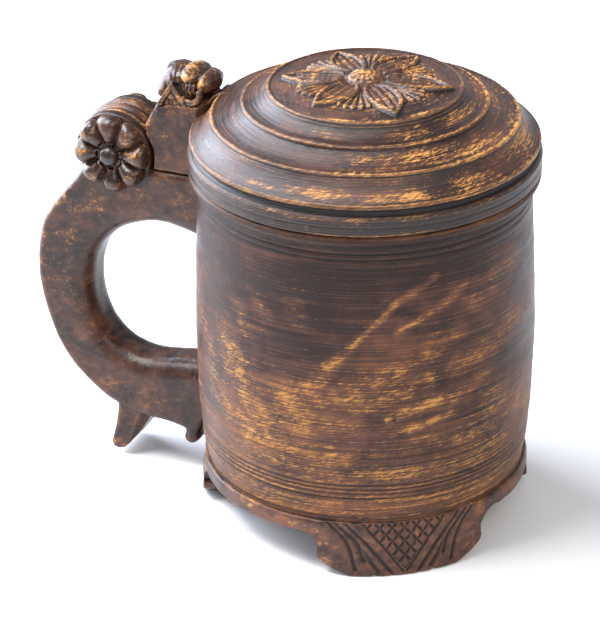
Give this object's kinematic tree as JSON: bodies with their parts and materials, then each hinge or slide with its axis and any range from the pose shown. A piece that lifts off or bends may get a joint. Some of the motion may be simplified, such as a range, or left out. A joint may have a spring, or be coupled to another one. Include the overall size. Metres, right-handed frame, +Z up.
{
  "type": "lidded tankard",
  "caption": "Turned wooden drinking tankard with carved bracket feet, a side handle and a hinged lid with a thumbpiece and carved flower.",
  "frame": {"origin": "middle of the whole footprint, on the surface the feet stand on; the vessel's own axis is at x = 0.04835", "axes": "+Z up, the handle points toward -X, the lid's hinge axis runs along Y"},
  "size_m": [0.2748, 0.178, 0.2407],
  "materials": {
    "vessel_wood": "satin",
    "foot_wood": "satin",
    "handle_wood": "satin",
    "carved_wood": "satin",
    "lid_wood": "satin",
    "bare_wood": "matte"
  },
  "bodies": {
    "vessel": {"vessel_wall": "vessel_wood", "bottom_board": "bare_wood", "foot_ring": "foot_wood", "handle": "handle_wood", "upper_handle_dowel": "bare_wood", "lower_handle_dowel": "bare_wood", "near_rosette": "carved_wood", "far_rosette": "carved_wood", "hinge_pin": "carved_wood", "pin_knob": "carved_wood"},
    "lid": {"lid": "lid_wood", "lid_arm": "handle_wood", "near_arm_dowel": "bare_wood", "far_arm_dowel": "bare_wood", "thumbpiece": "carved_wood", "thumbpiece_dowel": "bare_wood"}
  },
  "joints": [
    {"name": "lid_hinge", "type": "hinge", "parent": "vessel", "child": "lid", "pos_m": [-0.08615, 0, 0.1805], "axis": [0, -1, 0], "range_deg": [0, 100]}
  ]
}
